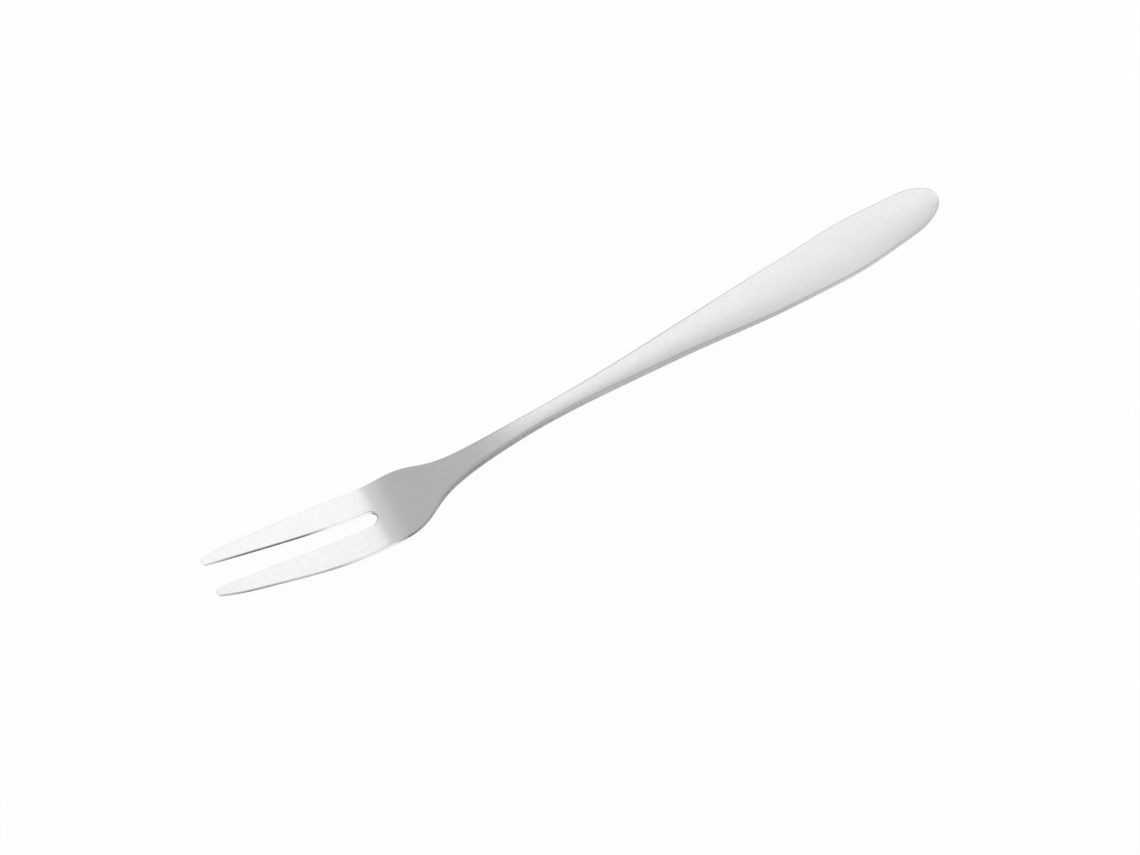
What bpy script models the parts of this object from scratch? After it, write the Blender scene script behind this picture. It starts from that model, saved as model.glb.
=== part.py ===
"""Two-tine fork: one piece of stainless steel, blanked from strip, coined, bent to profile and polished.

Metres, +Z up. The tines point to -X and the handle to +X. The fork lies as on a table, tines curling up,
with its origin on the table under the middle of its length. Stations run along X from the tips.
"""

import bmesh
import bpy
import numpy as np

# Overall sizes
OVERALL_LENGTH = 0.140
HEAD_WIDTH = 0.0134
WAIST_WIDTH = 0.0032
HANDLE_WIDTH = 0.0106
END_WIDTH = 0.0079
TIP_RISE = 0.0096

# Tines and the slot between them
SLOT_LENGTH = 0.0298
SLOT_ROOT_WIDTH = 0.0030
SLOT_FLARE = 1.5
TIP_GAP = 0.0059
TIP_WIDTH = 0.00105
TIP_ROUND = 0.0006

# Head and neck: the head is widest part way up the tines, then draws in a little to the shoulder.
# Past the shoulder the width falls to the waist: distance past it, and share of the fall still to come.
HEAD_FROM_TIPS = 0.0230
SHOULDER_PAST_SLOT = 0.0050
SHOULDER_DRAW = 0.0002
SHOULDER_CURVE = ((0.0049, 0.65), (0.0092, 0.28), (0.0172, 0.08))
WAIST_PAST_SHOULDER = 0.0302

# Handle, back from its end, with the share of the width gained from the waist or kept towards the end
HANDLE_SWELL = (0.0360, 0.74)
LEAF_FROM_END = 0.0180
HANDLE_TAPER = (0.0060, 0.26)
END_ROUND = 0.0060

# Underside: two lands on the table, with the tines, the neck and the handle's end clear of it.
# A bend is a distance and its share of the rise beside it.
TINE_BEND_FROM_TIPS = (0.0200, 0.276)
BELLY_LAND_PAST_SLOT = (0.0017, 0.0047)
THROAT_BEND_PAST_SLOT = (0.0162, 0.71)
NECK_ARCH_PAST_SLOT = 0.0272
NECK_RISE = 0.00158
HANDLE_BEND_FROM_END = (0.0560, 0.65)
HANDLE_LAND_FROM_END = (0.0310, 0.0220)
END_RISE = 0.0006

# Thickness square to the sheet, which grows from the widest part of the head to the waist, and how far the
# handle's top face is crowned above its edges
TINE_THICKNESS = 0.00070
NECK_THICKNESS = 0.00155
HANDLE_THICKNESS = 0.00092
HANDLE_CROWN = 0.00015

# The polished edge is eased all round by a small chamfer
EDGE_BREAK = 0.00025
EDGE_DROP = 0.00020

# Fineness of the surface
LONGEST_STEP = 0.0020
ROUND_STEPS = 7
ROWS = 6
NOSE_ANGLE = np.radians(8)
SHARP_ANGLE = np.radians(30)
WELD = 1e-6

STEEL_COLOUR = (0.80, 0.80, 0.79, 1.0)
STEEL_ROUGHNESS = 0.25

# Stations that follow from those sizes
SHOULDER = SLOT_LENGTH + SHOULDER_PAST_SLOT
WAIST = SHOULDER + WAIST_PAST_SHOULDER
LEAF = OVERALL_LENGTH - LEAF_FROM_END
BELLY_LAND = [SLOT_LENGTH + past for past in BELLY_LAND_PAST_SLOT]
HANDLE_LAND = [OVERALL_LENGTH - back for back in HANDLE_LAND_FROM_END]


def between(low, high, share):
    return low + share * (high - low)


def smooth_curve(points, stations):
    """A smooth curve through the points that never overshoots them and stays flat between equal heights."""
    knots, heights = np.array(sorted(points)).T
    gaps = np.diff(knots)
    slopes = np.diff(heights) / gaps
    before, after = slopes[:-1], slopes[1:]
    turning = before * after <= 0
    mean = 2 * before * after / np.where(turning, 1.0, before + after)
    tangents = np.concatenate([slopes[:1], np.where(turning, 0.0, mean), slopes[-1:]])
    i = np.clip(np.searchsorted(knots, stations, side="right") - 1, 0, len(gaps) - 1)
    t = (stations - knots[i]) / gaps[i]
    start = heights[i] * (1 + 2 * t) * (1 - t) ** 2 + gaps[i] * tangents[i] * t * (1 - t) ** 2
    finish = heights[i + 1] * t**2 * (3 - 2 * t) + gaps[i] * tangents[i + 1] * t**2 * (t - 1)
    return start + finish


def round_end(distance, length):
    """Share of the full width at a distance from a rounded end: a quarter ellipse, blunt at its nose."""
    blunt = np.cos(NOSE_ANGLE)
    reach = np.clip(distance / length, 0.0, 1.0)
    return np.sqrt(1 - (blunt * (1 - reach)) ** 2)


def station_list():
    """Stations of the surface's cross-lines, with one at each end of every land, arc and edge."""
    root = SLOT_ROOT_WIDTH / 2
    turn = np.linspace(0, np.pi / 2, ROUND_STEPS + 1)
    tip = TIP_ROUND * (1 - np.cos(turn))
    slot_root = SLOT_LENGTH - root + root * np.sin(turn)
    end = OVERALL_LENGTH - END_ROUND * (1 - np.cos(turn[::-1]))
    stops = [*tip, *slot_root, SLOT_LENGTH + EDGE_BREAK, *BELLY_LAND, SHOULDER, WAIST, *HANDLE_LAND, *end]
    stations = [0.0]
    for start, finish in zip(sorted(stops), sorted(stops)[1:]):
        steps = int(np.ceil((finish - start) / LONGEST_STEP))
        stations.extend(np.linspace(start, finish, steps + 1)[1:])
    return np.array(stations)


def outer_edge(stations):
    """Half width from the centre line to the outer edge."""
    shoulder_width = HEAD_WIDTH - SHOULDER_DRAW
    fall = [(SHOULDER + past, between(WAIST_WIDTH, shoulder_width, left)) for past, left in SHOULDER_CURVE]
    swell_back, swell = HANDLE_SWELL
    taper_back, taper = HANDLE_TAPER
    handle = [
        (OVERALL_LENGTH - swell_back, between(WAIST_WIDTH, HANDLE_WIDTH, swell)),
        (LEAF, HANDLE_WIDTH),
        (OVERALL_LENGTH - taper_back, between(END_WIDTH, HANDLE_WIDTH, taper)),
        (OVERALL_LENGTH, END_WIDTH),
    ]
    head = [(HEAD_FROM_TIPS, HEAD_WIDTH), (SHOULDER, shoulder_width)]
    points = [*head, *fall, (WAIST, WAIST_WIDTH), *handle]
    body = smooth_curve(points, np.maximum(stations, HEAD_FROM_TIPS)) / 2
    tip = TIP_GAP / 2 + TIP_WIDTH
    short = np.clip(1 - stations / HEAD_FROM_TIPS, 0, 1)
    return body - (HEAD_WIDTH / 2 - tip) * short**2


def slot_edge(stations):
    """Half width of the slot: flared at the tips, round at its root, and nothing beyond."""
    root = SLOT_ROOT_WIDTH / 2
    arc_start = SLOT_LENGTH - root
    flare = np.clip(1 - stations / arc_start, 0, 1) ** SLOT_FLARE
    into_arc = np.clip((stations - arc_start) / root, 0, 1)
    return (root + (TIP_GAP / 2 - root) * flare) * np.sqrt(1 - into_arc**2)


def underside(stations):
    """Height of the underside above the table."""
    tine, tine_share = TINE_BEND_FROM_TIPS
    throat, throat_share = THROAT_BEND_PAST_SLOT
    handle, handle_share = HANDLE_BEND_FROM_END
    points = [
        (0.0, TIP_RISE),
        (tine, TIP_RISE * tine_share),
        *((station, 0.0) for station in BELLY_LAND),
        (SLOT_LENGTH + throat, NECK_RISE * throat_share),
        (SLOT_LENGTH + NECK_ARCH_PAST_SLOT, NECK_RISE),
        (OVERALL_LENGTH - handle, NECK_RISE * handle_share),
        *((station, 0.0) for station in HANDLE_LAND),
        (OVERALL_LENGTH, END_RISE),
    ]
    return smooth_curve(points, stations)


def sheet(stations):
    """Upright thickness at the edges, and the crown of the top face above them."""
    thickness = smooth_curve(
        [
            (0.0, TINE_THICKNESS),
            (HEAD_FROM_TIPS, TINE_THICKNESS),
            (WAIST, NECK_THICKNESS),
            (LEAF, HANDLE_THICKNESS),
            (OVERALL_LENGTH, HANDLE_THICKNESS),
        ],
        stations,
    )
    slope = np.gradient(underside(stations), stations)
    crown = smooth_curve(
        [(0.0, 0.0), (SHOULDER, 0.0), (LEAF, HANDLE_CROWN), (OVERALL_LENGTH, HANDLE_CROWN)],
        stations,
    )
    return thickness * np.hypot(1, slope), crown


def row_places(width):
    """Places across a strip of this width: both rims, a line inside each chamfer, and even rows between."""
    margin = min(EDGE_BREAK, width / ROWS)
    return [0.0, *np.linspace(margin, width - margin, ROWS - 1), width]


def fork_mesh():
    """Half of the underside as a grid, mirrored, then raised to the top face."""
    stations = station_list()
    slot = slot_edge(stations)
    edge = outer_edge(stations) * round_end(OVERALL_LENGTH - stations, END_ROUND)
    middle = (edge + slot) / 2
    half = (edge - slot) / 2 * round_end(stations, TIP_ROUND)
    inner, outer = middle - half, middle + half
    height = underside(stations)
    thickness, crown = sheet(stations)

    bm = bmesh.new()
    wall = bm.verts.layers.float.new("wall")
    bmesh.ops.create_grid(bm, x_segments=len(stations) - 1, y_segments=ROWS, size=0.5)
    for vert in bm.verts:
        i = round((vert.co.x + 0.5) * (len(stations) - 1))
        row = round((vert.co.y + 0.5) * ROWS)
        y = inner[i] + row_places(outer[i] - inner[i])[row]
        on_slot = row == 0 and stations[i] <= SLOT_LENGTH
        on_rim = on_slot or row == ROWS or i in (0, len(stations) - 1)
        drop = EDGE_DROP if on_rim else 0.0
        vert.co = (stations[i] - OVERALL_LENGTH / 2, y, height[i] + drop)
        vert[wall] = thickness[i] + crown[i] * (1 - (y / outer[i]) ** 2) - 2 * drop

    bmesh.ops.mirror(bm, geom=bm.verts[:] + bm.edges[:] + bm.faces[:], axis="Y", merge_dist=WELD)
    raised = bmesh.ops.extrude_face_region(bm, geom=bm.faces[:])["geom"]
    for vert in raised:
        if isinstance(vert, bmesh.types.BMVert):
            vert.co.z += vert[wall]
    bmesh.ops.recalc_face_normals(bm, faces=bm.faces[:])
    if bm.calc_volume(signed=True) < 0:
        bmesh.ops.reverse_faces(bm, faces=bm.faces[:])
    bm.verts.layers.float.remove(wall)

    mesh = bpy.data.meshes.new("fork")
    bm.to_mesh(mesh)
    bm.free()
    mesh.shade_smooth()
    mesh.set_sharp_from_angle(angle=SHARP_ANGLE)
    return mesh


def polished_steel():
    material = bpy.data.materials.new("polished_steel")
    material.use_nodes = True
    shader = material.node_tree.nodes["Principled BSDF"]
    shader.inputs["Base Color"].default_value = STEEL_COLOUR
    shader.inputs["Metallic"].default_value = 1.0
    shader.inputs["Roughness"].default_value = STEEL_ROUGHNESS
    return material


def main():
    for obj in list(bpy.data.objects):
        bpy.data.objects.remove(obj)
    collection = bpy.data.collections.new("two_tine_fork")
    bpy.context.scene.collection.children.link(collection)
    fork = bpy.data.objects.new("fork", fork_mesh())
    fork.data.materials.append(polished_steel())
    collection.objects.link(fork)


main()
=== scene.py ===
import math

import bmesh
import bpy
import numpy as np
from mathutils import Matrix, Vector


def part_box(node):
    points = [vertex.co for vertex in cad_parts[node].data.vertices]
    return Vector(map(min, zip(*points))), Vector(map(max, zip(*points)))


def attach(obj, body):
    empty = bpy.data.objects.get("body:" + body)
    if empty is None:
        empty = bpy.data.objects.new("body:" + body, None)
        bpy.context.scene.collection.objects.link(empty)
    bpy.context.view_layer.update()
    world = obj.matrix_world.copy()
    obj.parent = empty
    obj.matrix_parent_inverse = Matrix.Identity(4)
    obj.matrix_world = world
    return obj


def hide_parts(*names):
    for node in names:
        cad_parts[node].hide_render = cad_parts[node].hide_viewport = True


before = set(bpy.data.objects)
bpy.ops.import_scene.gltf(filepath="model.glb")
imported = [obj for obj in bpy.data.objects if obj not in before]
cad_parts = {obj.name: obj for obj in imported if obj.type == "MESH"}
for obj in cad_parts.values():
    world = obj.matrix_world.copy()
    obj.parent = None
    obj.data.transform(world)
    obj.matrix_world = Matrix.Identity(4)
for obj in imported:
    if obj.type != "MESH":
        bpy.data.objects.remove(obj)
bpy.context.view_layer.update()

mm = 0.001
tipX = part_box("fork")[0].x
forkLength = (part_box("fork")[1].x - tipX) / mm

print("frame loaded, fork is %.1f mm long" % forkLength)


# an sRGB hex colour as the linear colour that the shaders take
def linear(hexColour):
    parts = [int(hexColour[i:i + 2], 16) / 255 for i in (0, 2, 4)]
    return [c / 12.92 if c <= 0.04045 else ((c + 0.055) / 1.055) ** 2.4 for c in parts] + [1.0]


# adds a node: settings are its own properties, inputs are values or sockets to link from
def addNode(tree, kind, inputs=None, **settings):
    made = tree.nodes.new(kind)
    for name, value in settings.items():
        setattr(made, name, value)
    for name, value in (inputs or {}).items():
        if isinstance(value, bpy.types.NodeSocket):
            tree.links.new(value, made.inputs[name])
        else:
            made.inputs[name].default_value = value
    return made


# a smooth line through a few points, bent as little as a thin batten would be
def batten(points):
    xs, ys = np.array(points, float).T
    gaps = np.diff(xs)
    system = np.eye(len(xs))
    turn = np.zeros(len(xs))
    for i in range(1, len(xs) - 1):
        system[i, i - 1:i + 2] = gaps[i - 1], 2 * (gaps[i - 1] + gaps[i]), gaps[i]
        turn[i] = 6 * ((ys[i + 1] - ys[i]) / gaps[i] - (ys[i] - ys[i - 1]) / gaps[i - 1])
    bend = np.linalg.solve(system, turn)

    def height(x):
        i = int(np.clip(np.searchsorted(xs, x) - 1, 0, len(gaps) - 1))
        b = (x - xs[i]) / gaps[i]
        a = 1 - b
        lift = (a ** 3 - a) * bend[i] + (b ** 3 - b) * bend[i + 1]
        return a * ys[i] + b * ys[i + 1] + lift * gaps[i] ** 2 / 6

    return height


# straight runs between a few points, for what must not swing past them
def steps(points):
    xs, ys = np.array(points, float).T
    return lambda x: float(np.interp(x, xs, ys))


# the fork, in mm: stations run from the tips of the tines, widths from the centre line
forkShape = {
    "outline": [(0, 4.0), (3, 4.77), (9, 5.6), (20, 6.59), (26, 6.66), (30, 6.56), (34.5, 6.49), (37, 5.91),
                (41, 4.03), (44.5, 3.02), (52, 2.08), (65, 1.59), (76, 2.08), (96, 3.65), (106, 4.5),
                (114, 4.97), (122, 5.37), (130, 4.83), (140, 3.68)],
    "topLine": [(0, 10.32), (8, 7.54), (16, 4.68), (24, 2.23), (28, 1.315), (31, 1.04), (34, 0.97),
                (37, 1.25), (41, 1.84), (44, 2.165), (52, 2.84), (62, 3.12), (76, 2.65), (94, 1.92),
                (106, 1.23), (118, 0.98), (128, 1.16), (140, 1.48)],
    "thickness": [(0, 0.6), (6, 0.64), (20, 0.65), (28, 0.78), (36, 0.97), (48, 1.3), (62, 1.5), (82, 1.4),
                  (96, 1.2), (108, 1.05), (118, 0.9), (140, 0.87)],
    "crown": [(0, 0), (50, 0.04), (75, 0.1), (100, 0.16), (120, 0.11), (140, 0.16)],    # middle above edges
    "rimRadius": [(0, 0.07), (20, 0.07), (25, 0.05), (30, 0.06), (38, 0.25), (44, 0.5), (48, 0.55),
                  (56, 0.37), (66, 0.26), (74, 0.36), (92, 0.38), (106, 0.22)],
    "rimSpread": [(36, 1), (42, 1.9), (50, 1.7), (58, 1)],    # rims drawn out at the throat: width over depth
    "slotRim": [(0, 0.07), (20, 0.07), (24, 0.03), (27.6, 0.03), (28.2, 0.1), (29.65, 0.32)],
    "slot": [(0, 2.74), (8, 2.29), (16, 1.91), (24, 1.59), (30, 1.43)],
    "slotLength": 29.65,
    "tipInset": 0.2,      # the tips stop this far short of the frame's box, and the handle a hair
    "endInset": 0.01,
    "tipRound": 0.4,      # length of a tine's round nose
    "endRound": 6.0,      # length of the handle's round end
    # how far the walls are painted dark as shade, and dull from the punch's break, 0 to 1, in the slot and
    # outside, and the share of a wall above it painted lighter as a highlight band and left shinier
    "slotPaintedShadeAndBreak": [(0, 0.1), (3, 0.62), (6, 0.92), (8, 1), (17, 1), (22, 0), (28.8, 0), (29.6, 1)],
    "edgePaintedShadeAndBreak": [(0, 0.42), (5, 0.83), (9, 0.7), (13, 0.52), (20, 0.64), (25, 0.18), (30, 0.15), (33, 0.87),
                  (36, 0.75), (42, 0.72), (45, 0.66), (48, 0.76), (54, 0.75), (63, 0.68), (74, 0.58),
                  (108, 0.57), (118, 0.42), (134, 0.5)],
    "paintedHighlightBand": [(0, 0.1), (20, 0.1), (24, 0.6), (28.6, 0.6), (29.4, 0), (30.5, 0.05)],
    "highlightBandFade": 0.15,  # share of a wall's height from the painted highlight band to the painted shade
    "highlightBandShade": 0.5,   # of the painted shade and dullness, the share kept in the highlight band
    "stationStep": 0.6,   # between the grid's cross lines
    "rows": 12,           # across half of the fork
    "rimMargin": 0.05,    # a row this close to each rim keeps the flat face flat
    "weld": 0.001,        # points of the two halves this close become one
    "noseSteps": 8,       # along a tine's nose and round the slot's root, twice that at the handle's end
    "rimSteps": 4,
    "wallSteps": 4,
}


def makeFork(shape):
    outline, topLine, thickness, crown, slot = (
        batten(shape[name]) for name in ("outline", "topLine", "thickness", "crown", "slot"))
    rimRadius, rimSpread, slotRim, slotPaintedShadeAndBreak, edgePaintedShadeAndBreak, paintedHighlightBand = (steps(shape[name]) for name in (
        "rimRadius", "rimSpread", "slotRim", "slotPaintedShadeAndBreak", "edgePaintedShadeAndBreak", "paintedHighlightBand"))
    rows = shape["rows"]
    margin = shape["rimMargin"]
    rimSteps = shape["rimSteps"]
    wallSteps = shape["wallSteps"]
    tipRim = rimRadius(0)
    endRim = rimRadius(forkLength)
    tipRound = shape["tipRound"]
    endRound = shape["endRound"] - endRim
    rootRadius = slot(shape["slotLength"])
    rootCentre = shape["slotLength"] - rootRadius
    sideRim, rootRim = slotRim(rootCentre), slotRim(shape["slotLength"])

    # the flat face stops short of the outline by the rim's width
    def faceEdge(station):
        return outline(station) - rimRadius(station) * rimSpread(station)

    def faceSlot(station):
        if station <= rootCentre:
            return slot(station) + slotRim(station)
        reach = (station - rootCentre) / (rootRadius + rootRim)
        return (rootRadius + sideRim) * math.sqrt(max(0, 1 - reach ** 2))

    quarter = np.linspace(0, math.pi / 2, shape["noseSteps"] + 1)
    longQuarter = np.linspace(0, math.pi / 2, 2 * shape["noseSteps"] + 1)
    tips = shape["tipInset"] + tipRim + np.linspace(0, tipRound, shape["noseSteps"] + 1)
    root = rootCentre + (rootRadius + rootRim) * np.sin(quarter)
    end = forkLength - shape["endInset"] - endRim - endRound * (1 - np.sin(longQuarter))
    tineSteps = round((root[0] - tips[-1]) / shape["stationStep"])
    bodySteps = round((end[0] - root[-1]) / shape["stationStep"])
    stations = np.concatenate([tips[:-1], np.linspace(tips[-1], root[0], tineSteps + 1)[:-1], root,
                               np.linspace(root[-1] + margin, end[0], bodySteps + 1)[:-1], end])

    # rows lie evenly across the face, but for one close to each rim
    def spread(row, width):
        if row in (0, rows):
            return row / rows
        close = min(margin / width, 1 / rows)
        return close + (1 - 2 * close) * (row - 1) / (rows - 2)

    # a grid point's place along and across: the square grid is eased round at the tips and the end
    def plan(station, row):
        inner = faceSlot(station)
        share = spread(row, faceEdge(station) - inner)
        if station < tips[-1]:
            along = (tips[-1] - station) / tipRound
            across = 2 * share - 1
            station = tips[-1] - tipRound * along * math.sqrt(1 - across ** 2 / 2)
            half = (faceEdge(station) - faceSlot(station)) / 2
            return station, faceSlot(station) + half + half * across * math.sqrt(1 - along ** 2 / 2)
        if station > end[0]:
            along = (station - end[0]) / endRound
            station = end[0] + endRound * along * math.sqrt(1 - share ** 2 / 2)
            return station, faceEdge(station) * share * math.sqrt(1 - along ** 2 / 2)
        return station, inner + (faceEdge(station) - inner) * share

    bm = bmesh.new()
    bmesh.ops.create_grid(bm, x_segments=len(stations) - 1, y_segments=rows, size=0.5)
    for vert in bm.verts:
        i = round((vert.co.x + 0.5) * (len(stations) - 1))
        station, y = plan(stations[i], round((vert.co.y + 0.5) * rows))
        vert.co = (station, y, 0)
    bmesh.ops.mirror(bm, geom=bm.verts[:] + bm.edges[:] + bm.faces[:], axis="Y",
                     merge_dist=shape["weld"])
    bmesh.ops.recalc_face_normals(bm, faces=bm.faces[:])

    # each point on the edge keeps the way out of the metal
    outward = bm.verts.layers.float_vector.new("outward")
    for edge in bm.edges:
        if edge.is_boundary:
            run = edge.verts[1].co - edge.verts[0].co
            out = Vector((run.y, -run.x, 0)).normalized()
            middle = (edge.verts[0].co + edge.verts[1].co) / 2
            if out.dot(middle - edge.link_faces[0].calc_center_median()) < 0:
                out.negate()
            for vert in edge.verts:
                vert[outward] += out

    # down to the underside, with rings round the wall for its two rolled rims
    depth = bm.verts.layers.float.new("depth")
    lower = bmesh.ops.extrude_face_region(bm, geom=bm.faces[:])["geom"]
    for vert in lower:
        if isinstance(vert, bmesh.types.BMVert):
            vert[depth] = 1
    uprights = [e for e in bm.edges if e.verts[0][depth] != e.verts[1][depth]]
    lastRing = 2 * rimSteps + wallSteps
    bmesh.ops.subdivide_edges(bm, edges=uprights, cuts=lastRing - 1, use_grid_fill=True)

    # for the steel: how far the surface has turned from face to wall, and how dull it is and how dark its
    # painted shade
    wall = bm.verts.layers.float.new("wall")
    paintedShadeAndBreak = bm.verts.layers.float.new("paintedShadeAndBreak")
    for vert in bm.verts:
        station, y = vert.co.x, vert.co.y
        inSlot = station < root[-1] + rootRim and abs(y) < (slot(station) + outline(station)) / 2
        radius = slotRim(station) if inSlot else rimRadius(station)
        reach = radius if inSlot else radius * rimSpread(station)
        ring = round(vert[depth] * lastRing)
        turn = math.pi / 2 * min(ring, lastRing - ring, rimSteps) / rimSteps
        down = min(max((ring - rimSteps) / wallSteps, 0), 1)
        top = topLine(station) + crown(station) * (1 - (y / outline(station)) ** 2)
        under = topLine(station) - thickness(station)
        fall = radius * (1 - math.cos(turn))
        vert.co = vert.co + vert[outward].normalized() * reach * math.sin(turn)
        vert.co.z = (1 - down) * (top - fall) + down * (under + fall)
        # painted shade on the walls: how dark each station's walls are painted, together with their dullness
        left = slotPaintedShadeAndBreak(station) if inSlot else edgePaintedShadeAndBreak(station)
        sunk = (top - vert.co.z) / (top - under)
        vert[wall] = math.sin(turn)
        # a painted highlight band at the top of each wall, lighter and shinier, with painted shade below it
        brokenPaintedShade = min(max((sunk - paintedHighlightBand(station)) / shape["highlightBandFade"], 0), 1)
        vert[paintedShadeAndBreak] = left * (shape["highlightBandShade"] + (1 - shape["highlightBandShade"]) * brokenPaintedShade)
    bmesh.ops.scale(bm, vec=(mm, mm, mm), verts=bm.verts[:])
    bmesh.ops.translate(bm, vec=(tipX, 0, 0), verts=bm.verts[:])
    bm.verts.layers.float.remove(depth)
    bm.verts.layers.float_vector.remove(bm.verts.layers.float_vector["outward"])
    bmesh.ops.recalc_face_normals(bm, faces=bm.faces[:])
    if bm.calc_volume(signed=True) < 0:
        bmesh.ops.reverse_faces(bm, faces=bm.faces[:])

    mesh = bpy.data.meshes.new("polished_fork")
    bm.to_mesh(mesh)
    bm.free()
    mesh.shade_smooth()
    return mesh


# stainless steel, buffed crosswise: a soft satin shine, glossier on the head, with faint lines across, and
# walls in painted shade, dull where the punch broke through, under a painted highlight band; sizes in mm
steelFinish = {
    "polished": ("dadad8", "dededc"),    # in the buffing lines and between them
    "burnishedPaintedHighlight": "f8f8f6",           # walls: a painted highlight where shinier, and painted shade where dull from the punch
    "brokenPaintedShade": "3a3a38",
    "roughness": (0.20, 0.30),       # at the head and on the handle
    "finishChange": (30, 70),        # from one to the other between these stations
    "burnishedRoughness": 0.15,
    "brokenRoughness": 0.45,
    "lineSpacing": 0.35,             # real buffing lines are ten times finer, too fine to show
    "lineLength": 1.2,
    "lineDepth": 0.0006,
    "waves": (5.0, 12.0),            # unevenness of a bent and buffed strip, along it and across
    "waveDepth": 0.02,
    "mottle": 1.2,                   # soft patches where the buff pressed harder
    "mottleRoughness": 0.015,
    "shearSpacing": 0.2,             # upright streaks that the punch leaves on the walls
    "shearLength": 1.5,
    "shearChange": 0.2,              # share of the dullness and painted shade lost between the streaks
    "cloudRange": (0.3, 0.7),        # nearly all of a cloudy pattern lies between these
}


def satinSteel(finish):
    material = bpy.data.materials.new("satin polished stainless steel")
    material.use_nodes = True
    tree = material.node_tree
    shader = tree.nodes["Principled BSDF"]
    shader.inputs["Metallic"].default_value = 1.0
    place = addNode(tree, "ShaderNodeTexCoord").outputs["Object"]

    # a cloudy pattern with patches of these sizes along, across and up
    def clouds(sizes, detail):
        scale = [1 / (size * mm) for size in sizes]
        grid = addNode(tree, "ShaderNodeMapping", {"Vector": place, "Scale": scale}).outputs[0]
        noise = addNode(tree, "ShaderNodeTexNoise", {"Vector": grid, "Scale": 1.0, "Detail": detail})
        return noise.outputs["Fac"]

    # one range of values stretched over another
    def stretched(value, old, new):
        return addNode(tree, "ShaderNodeMapRange", {"Value": value, "From Min": old[0], "From Max": old[1],
                                                    "To Min": new[0], "To Max": new[1]}).outputs[0]

    # arithmetic on numbers and sockets
    def maths(operation, *values):
        return addNode(tree, "ShaderNodeMath", dict(enumerate(values)), operation=operation).outputs[0]

    # from the first to the second by share: two numbers, or two colours
    def blended(share, first, second):
        return addNode(tree, "ShaderNodeMix", {0: share, 2: first, 3: second}).outputs[0]

    def tinted(share, first, second):
        return addNode(tree, "ShaderNodeMix", {0: share, 6: first, 7: second}, data_type="RGBA").outputs[2]

    spacing, shear, lineLength = finish["lineSpacing"], finish["shearSpacing"], finish["lineLength"]
    alongWave, acrossWave = finish["waves"]
    lines = clouds((spacing, lineLength, lineLength), detail=2.0)
    mottle = clouds([finish["mottle"]] * 3, detail=2.0)
    streaks = clouds((shear, shear, finish["shearLength"]), detail=1.0)
    waves = clouds((alongWave, acrossWave, acrossWave), detail=0.0)
    cloudRange = finish["cloudRange"]

    # the polished faces
    along = addNode(tree, "ShaderNodeSeparateXYZ", {0: place}).outputs["X"]
    change = [tipX + station * mm for station in finish["finishChange"]]
    pressed = finish["mottleRoughness"]
    faceRough = maths("ADD", stretched(along, change, finish["roughness"]),
                     stretched(mottle, cloudRange, (-pressed, pressed)))
    inLines, betweenLines = (linear(colour) for colour in finish["polished"])
    faceTint = tinted(stretched(lines, cloudRange, (0, 1)), inLines, betweenLines)

    # the walls: duller and in painted shade towards the underside, under a painted highlight band
    wall, paintedShadeAndBreak = (addNode(tree, "ShaderNodeAttribute", attribute_name=name).outputs["Fac"]
                     for name in ("wall", "paintedShadeAndBreak"))
    dullAndPaintedShade = maths("MULTIPLY", paintedShadeAndBreak, stretched(streaks, cloudRange, (1 - finish["shearChange"], 1)))
    wallRough = blended(dullAndPaintedShade, finish["burnishedRoughness"], finish["brokenRoughness"])
    # the walls' colour runs from a painted highlight to painted shade
    wallPaintedLightAndShade = tinted(dullAndPaintedShade, linear(finish["burnishedPaintedHighlight"]), linear(finish["brokenPaintedShade"]))

    height = maths("MULTIPLY_ADD", waves, finish["waveDepth"], maths("MULTIPLY", lines, finish["lineDepth"]))
    relief = addNode(tree, "ShaderNodeBump", {"Height": height, "Distance": mm}).outputs[0]
    tree.links.new(blended(wall, faceRough, wallRough), shader.inputs["Roughness"])
    tree.links.new(tinted(wall, faceTint, wallPaintedLightAndShade), shader.inputs["Base Color"])
    tree.links.new(relief, shader.inputs["Normal"])
    return material


fork = bpy.data.objects.new("polished_fork", makeFork(forkShape))
bpy.context.scene.collection.objects.link(fork)
fork.data.materials.append(satinSteel(steelFinish))
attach(fork, "root")
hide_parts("fork")
print("fork made: %d faces" % len(fork.data.polygons))


# pale table, sized in metres: white to the eye and in the metal, with a trace of the fork's shadow
table = {"size": 40.0, "colour": "f7f7f7", "shadow": 0.05}


def makeTable(values):
    bm = bmesh.new()
    bmesh.ops.create_grid(bm, x_segments=1, y_segments=1, size=values["size"] / 2)
    mesh = bpy.data.meshes.new("table")
    bm.to_mesh(mesh)
    bm.free()
    material = bpy.data.materials.new("white studio table")
    material.use_nodes = True
    tree = material.node_tree
    tree.nodes.clear()
    path = addNode(tree, "ShaderNodeLightPath").outputs
    seen = path["Is Camera Ray"]
    for ray in ("Is Glossy Ray", "Is Transmission Ray"):
        seen = addNode(tree, "ShaderNodeMath", {0: seen, 1: path[ray]}, operation="MAXIMUM").outputs[0]
    unshadowed = 1 - values["shadow"]
    share = addNode(tree, "ShaderNodeMath", {0: seen, 1: unshadowed}, operation="MULTIPLY").outputs[0]
    matt = addNode(tree, "ShaderNodeBsdfDiffuse", {"Color": linear(values["colour"])}).outputs[0]
    glow = addNode(tree, "ShaderNodeEmission", {"Strength": 1.0}).outputs[0]
    both = addNode(tree, "ShaderNodeMixShader", {0: share, 1: matt, 2: glow}).outputs[0]
    addNode(tree, "ShaderNodeOutputMaterial", {"Surface": both})
    mesh.materials.append(material)
    return mesh


floor = bpy.data.objects.new("table", makeTable(table))
bpy.context.scene.collection.objects.link(floor)
print("table laid")


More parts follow.
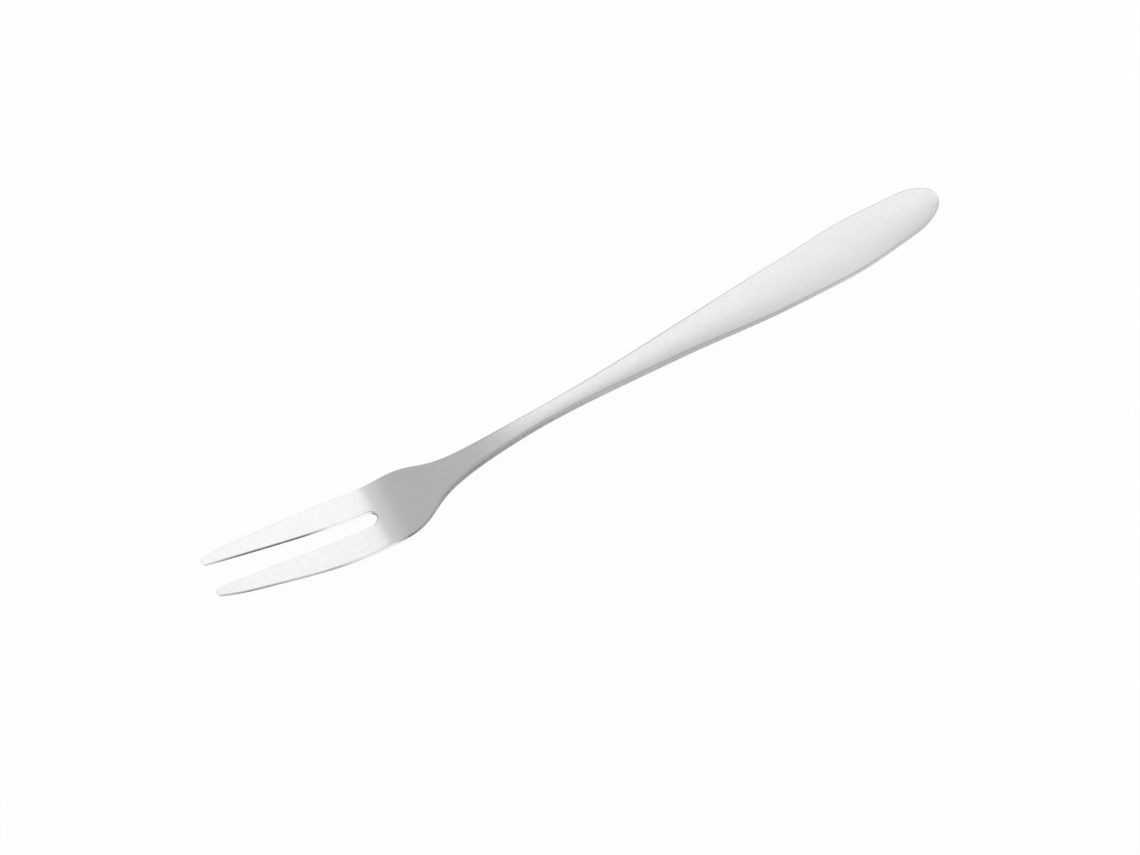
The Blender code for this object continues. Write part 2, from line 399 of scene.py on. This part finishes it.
# softboxes in a plain grey room: two behind the fork, one above the other, reaching from its neck to past its
# handle, and dimmer ones off both ends and both front corners
studio = {
    "room": 0.606,        # brightness as the metal sees it
    "distance": 0.188,    # metres from the fork's middle
    # degrees round from behind, left and right edge in metres, lower and upper edge in degrees up from the
    # table, brightness above the room's
    "softboxes": [(0, -0.0285, 0.4, 38.5, 51, 0.8), (0, -0.0285, 0.4, 51, 63, 0.72),
                  (90, -0.12, 0.12, 12, 42, 0.5), (135, -0.07, 0.07, 12, 42, 0.5),
                  (225, -0.07, 0.07, 12, 42, 0.5), (270, -0.12, 0.12, 12, 42, 0.5)],
}


def lightStudio(values):
    world = bpy.data.worlds.new("studio")
    world.use_nodes = True
    backdrop = world.node_tree.nodes["Background"]
    backdrop.inputs["Color"].default_value = (1, 1, 1, 1)
    backdrop.inputs["Strength"].default_value = values["room"]
    bpy.context.scene.world = world

    for side, left, right, lowerEdge, upperEdge, brightness in values["softboxes"]:
        facing = math.radians((lowerEdge + upperEdge) / 2)
        lamp = bpy.data.lights.new("softbox", "AREA")
        lamp.shape = "RECTANGLE"
        lamp.size = right - left
        lamp.size_y = 2 * values["distance"] * math.tan(math.radians(upperEdge - lowerEdge) / 2)
        lamp.energy = brightness * math.pi * lamp.size * lamp.size_y    # any size of box looks this bright
        softbox = bpy.data.objects.new("softbox", lamp)
        place = Vector((0, math.cos(facing), math.sin(facing))) * values["distance"]
        place.x = (left + right) / 2
        turned = Matrix.Rotation(math.radians(side), 4, "Z")
        leaning = Matrix.Rotation(facing - math.pi / 2, 4, "X")
        softbox.matrix_world = turned @ Matrix.Translation(place) @ leaning
        softbox.visible_camera = False
        bpy.context.scene.collection.objects.link(softbox)


lightStudio(studio)
print("studio lit")


# the photograph's camera: angles in degrees, distance in metres, focal length and the fork's origin in pixels
view = {
    "azimuth": 2.55,
    "elevation": 57.0,
    "roll": 31.88,
    "distance": 0.9,
    "picture": (1140, 855),
    "focalPixels": 5261.5,
    "originPixel": (582.9, 401.7),
}


def setCamera(values):
    azimuth, elevation, roll = (math.radians(values[name]) for name in ("azimuth", "elevation", "roll"))
    back = Vector((math.sin(azimuth) * math.cos(elevation), -math.cos(azimuth) * math.cos(elevation),
                   math.sin(elevation)))
    level = Vector((math.cos(azimuth), math.sin(azimuth), 0))
    upright = back.cross(level)
    right = math.cos(roll) * level - math.sin(roll) * upright
    up = math.sin(roll) * level + math.cos(roll) * upright
    pixel = values["distance"] / values["focalPixels"]
    offRight = (values["originPixel"][0] - values["picture"][0] / 2) * pixel
    offUp = (values["picture"][1] / 2 - values["originPixel"][1]) * pixel
    data = bpy.data.cameras.new("camera")
    data.lens = values["focalPixels"] / values["picture"][0] * data.sensor_width
    camera = bpy.data.objects.new("camera", data)
    place = back * values["distance"] - right * offRight - up * offUp
    turned = Matrix((right, up, back)).transposed().to_4x4()
    camera.matrix_world = Matrix.Translation(place) @ turned
    bpy.context.scene.collection.objects.link(camera)
    bpy.context.scene.camera = camera


setCamera(view)
bpy.context.scene.view_settings.view_transform = "Standard"
print("camera set")
